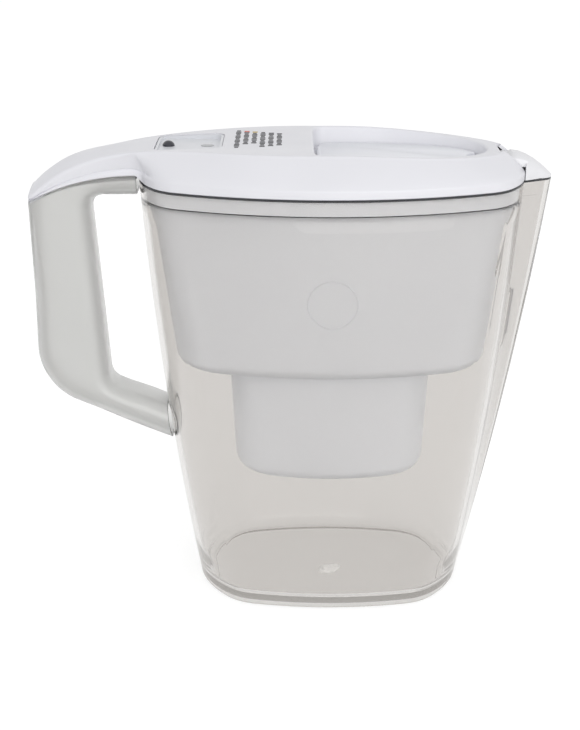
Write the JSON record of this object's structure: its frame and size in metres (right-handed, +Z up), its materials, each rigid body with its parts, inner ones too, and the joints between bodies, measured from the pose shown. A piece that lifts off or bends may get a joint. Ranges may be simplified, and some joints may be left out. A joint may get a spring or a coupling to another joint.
{
  "type": "water filter pitcher with flip lid",
  "caption": "Clear oval jug with a spout and hollow handle, a lift-out hopper with filter cartridge, and a lid with fill flap, spout flap and change indicator.",
  "frame": {"origin": "centre of the foot, on the table", "axes": "+X towards the spout, +Z up, +Y to the left when the spout points away"},
  "size_m": [0.2707, 0.1102, 0.2464],
  "materials": {
    "jug_clear": "clear moulded plastic, polished",
    "handle_frosted": "translucent moulded plastic, hollow",
    "hopper_milky": "milky translucent plastic",
    "cartridge_white": "white plastic",
    "cap_white": "white plastic",
    "seal_grey": "soft ring",
    "screen_mesh": "fine woven mesh",
    "media_black": "loose granules",
    "lid_white": "white plastic, satin",
    "fill_flap_white": "white plastic, satin",
    "spout_flap_white": "white plastic, satin",
    "case_grey": "light grey plastic",
    "button_dark": "dark blue-black plastic, shiny",
    "dome_metal": "snap dome",
    "lens_smoke": "smoky window",
    "led_body": "lamp body",
    "board_green": "circuit board",
    "cell_steel": "coin cell can",
    "clip_brass": "plated spring strip",
    "cover_grey": "light grey plastic",
    "frame_grey": "soft frame"
  },
  "bodies": {
    "jug": {"jug_body": "jug_clear", "handle_shell": "handle_frosted"},
    "hopper": {"hopper": "hopper_milky"},
    "cartridge": {"cartridge_body": "cartridge_white", "cartridge_cap": "cap_white", "cartridge_seal": "seal_grey", "upper_screen": "screen_mesh", "lower_screen": "screen_mesh", "filter_media": "media_black"},
    "lid": {"lid_shell": "lid_white", "indicator_case": "case_grey", "button_dome": "dome_metal", "indicator_lens": "lens_smoke", "indicator_led": "led_body", "indicator_board": "board_green", "coin_cell": "cell_steel", "battery_clip": "clip_brass", "case_cover": "cover_grey", "case_seal": "frame_grey"},
    "fill_flap": {"fill_flap": "fill_flap_white"},
    "spout_flap": {"spout_flap": "spout_flap_white"},
    "button": {"indicator_button": "button_dark"}
  },
  "joints": [
    {"name": "hopper_lift", "type": "slide", "parent": "jug", "child": "hopper", "axis": [0, 0, 1], "range_m": [0, 0.165]},
    {"name": "cartridge_lift", "type": "slide", "parent": "hopper", "child": "cartridge", "axis": [0, 0, 1], "range_m": [0, 0.16]},
    {"name": "lid_lift", "type": "slide", "parent": "cartridge", "child": "lid", "axis": [0, 0, 1], "range_m": [0, 0.08]},
    {"name": "fill_flap_hinge", "type": "hinge", "parent": "lid", "child": "fill_flap", "pos_m": [-0.0061, 0, 0.2365], "axis": [0, -1, 0], "range_deg": [0, 80]},
    {"name": "spout_flap_hinge", "type": "hinge", "parent": "lid", "child": "spout_flap", "pos_m": [0.0897, 0, 0.236], "axis": [0, -1, 0], "range_deg": [0, 65]},
    {"name": "button_press", "type": "slide", "parent": "lid", "child": "button", "axis": [0, 0, -1], "range_m": [0, 0.0008], "stiffness_N_per_m": 800, "springref_m": -0.0006}
  ]
}
